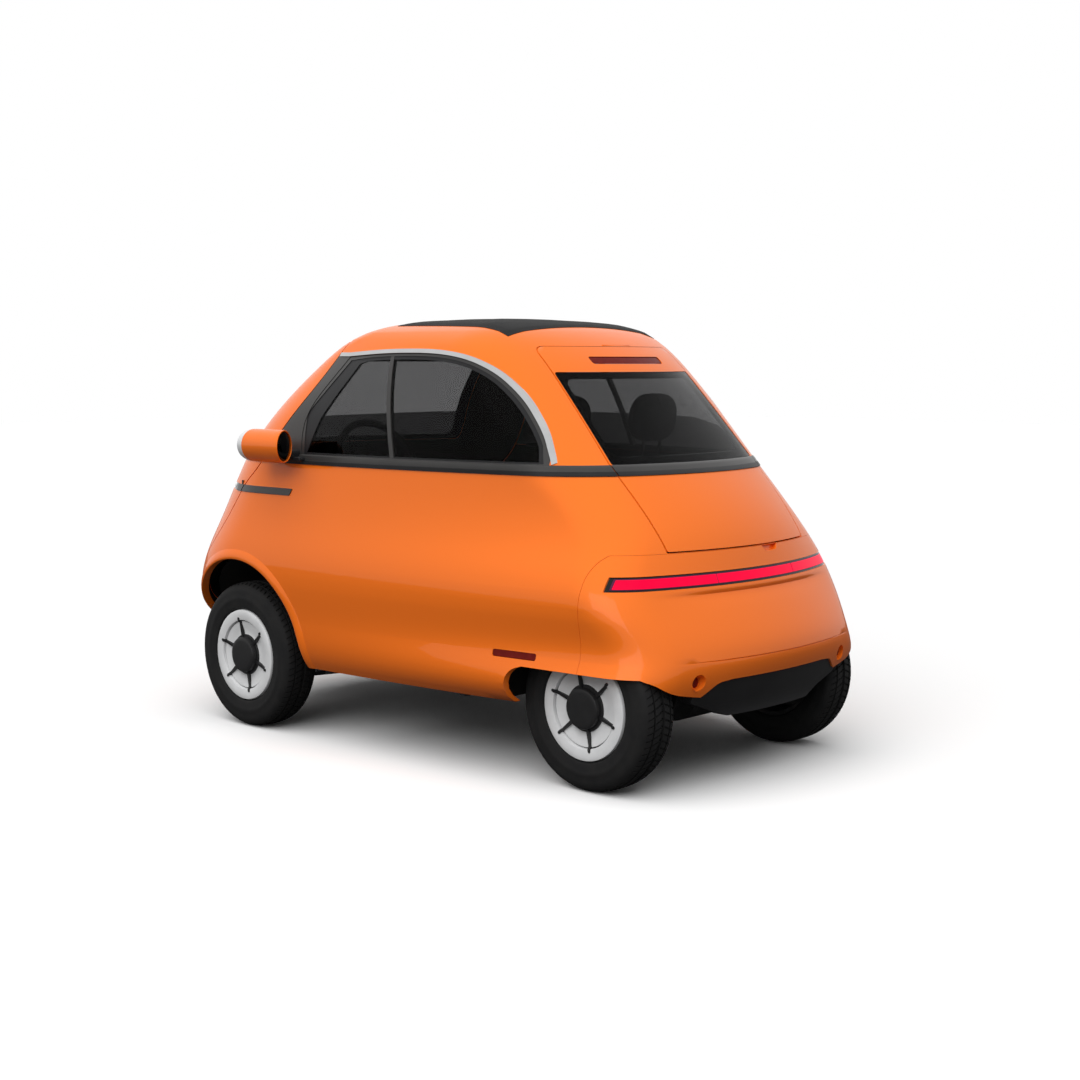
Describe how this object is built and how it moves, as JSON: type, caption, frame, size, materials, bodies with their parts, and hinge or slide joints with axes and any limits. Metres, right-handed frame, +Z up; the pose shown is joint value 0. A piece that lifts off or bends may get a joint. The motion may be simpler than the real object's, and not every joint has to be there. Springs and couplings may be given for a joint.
{
  "type": "microcar",
  "caption": "Small two-seat bubble-shaped electric car with a front-opening door, rear hatch, fabric roof, mirror pods and steerable wheels.",
  "frame": {"origin": "on the ground, under the middle of the car", "axes": "+X forward, along the length; +Y to the left; +Z up"},
  "size_m": [2.5222, 1.62, 1.501],
  "materials": {
    "body_paint": "orange gloss paint",
    "tinted_glass": "tinted safety glass",
    "black_gloss": "black gloss plastic",
    "black_plastic": "grained black plastic",
    "roof_fabric": "black woven roof fabric",
    "tyre": "black tyre rubber",
    "wheel_cover": "white wheel cover with black ribs",
    "underbody": "coated black sheet",
    "steel": "black coated steel",
    "battery_case": "cast battery case",
    "motor_case": "cast motor housing",
    "red_light": "red light lens",
    "dark_red_lens": "dark red lens",
    "white_light": "clear light lens",
    "mirror_glass": "mirror glass",
    "seat_fabric": "dark grey seat cloth",
    "interior_plastic": "soft dark plastic"
  },
  "bodies": {
    "root": {"roof_shell": "body_paint", "left_side_panel": "body_paint", "right_side_panel": "body_paint", "rear_bumper": "body_paint", "front_bumper": "body_paint", "diffuser": "black_plastic", "floor_pan": "underbody", "boot_floor": "interior_plastic", "front_wheel_liners": "underbody", "rear_wheel_liners": "underbody", "jack_pads": "black_plastic", "battery_pack": "battery_case", "motor_block": "motor_case", "rear_axle": "steel", "front_suspension": "steel", "door_hinge_pin": "steel", "hatch_hinge_pin": "steel", "window_frames": "black_gloss", "side_windows": "tinted_glass", "soft_top": "roof_fabric", "rear_light_bar": "red_light", "side_markers": "dark_red_lens", "rear_reflectors": "dark_red_lens", "left_mirror_pod": "body_paint", "right_mirror_pod": "body_paint", "headlamps": "white_light", "mirror_glasses": "mirror_glass", "seat_base": "seat_fabric", "seat_back": "seat_fabric", "headrests": "seat_fabric", "steering_column": "interior_plastic", "pedals": "steel"},
    "front_door": {"front_door": "body_paint", "windscreen": "tinted_glass", "dash_bar": "interior_plastic", "front_light_bar": "white_light"},
    "hatch": {"hatch": "body_paint", "rear_window": "tinted_glass", "third_brake_light": "dark_red_lens"},
    "steering_wheel": {"steering_wheel": "interior_plastic"},
    "left_knuckle": {"left_knuckle": "steel"},
    "right_knuckle": {"right_knuckle": "steel"},
    "front_left_wheel": {"front_left_tyre": "tyre", "front_left_wheel": "wheel_cover"},
    "front_right_wheel": {"front_right_tyre": "tyre", "front_right_wheel": "wheel_cover"},
    "rear_left_wheel": {"rear_left_tyre": "tyre", "rear_left_wheel": "wheel_cover"},
    "rear_right_wheel": {"rear_right_tyre": "tyre", "rear_right_wheel": "wheel_cover"}
  },
  "joints": [
    {"name": "front_door_hinge", "type": "hinge", "parent": "root", "child": "front_door", "pos_m": [0.7215, 0.6615, 0.886], "axis": [0, 0, 1], "range_deg": [0, 75]},
    {"name": "hatch_hinge", "type": "hinge", "parent": "root", "child": "hatch", "pos_m": [-0.5265, 0, 1.402], "axis": [0, 1, 0], "range_deg": [0, 72]},
    {"name": "steer_left", "type": "hinge", "parent": "root", "child": "left_knuckle", "pos_m": [0.6815, 0.576, 0.2685], "axis": [0, 0, 1], "range_deg": [-30, 30]},
    {"name": "steer_right", "type": "hinge", "parent": "root", "child": "right_knuckle", "pos_m": [0.6815, -0.576, 0.2685], "axis": [0, 0, 1], "range_deg": [-30, 30]},
    {"name": "steering_wheel_turn", "type": "hinge", "parent": "root", "child": "steering_wheel", "pos_m": [0.4055, 0.27, 0.965], "axis": [-0.8829, 0, 0.4695], "range_deg": [-360, 360]},
    {"name": "front_left_spin", "type": "hinge", "parent": "left_knuckle", "child": "front_left_wheel", "pos_m": [0.6815, 0.632, 0.2685], "axis": [0, 1, 0], "continuous": true},
    {"name": "front_right_spin", "type": "hinge", "parent": "right_knuckle", "child": "front_right_wheel", "pos_m": [0.6815, -0.632, 0.2685], "axis": [0, 1, 0], "continuous": true},
    {"name": "rear_left_spin", "type": "hinge", "parent": "root", "child": "rear_left_wheel", "pos_m": [-0.8845, 0.488, 0.2685], "axis": [0, 1, 0], "continuous": true},
    {"name": "rear_right_spin", "type": "hinge", "parent": "root", "child": "rear_right_wheel", "pos_m": [-0.8845, -0.488, 0.2685], "axis": [0, 1, 0], "continuous": true}
  ],
  "couplings": [
    {"joint": "steer_right", "follows": "steer_left", "ratio": 1},
    {"joint": "steering_wheel_turn", "follows": "steer_left", "ratio": 12}
  ]
}
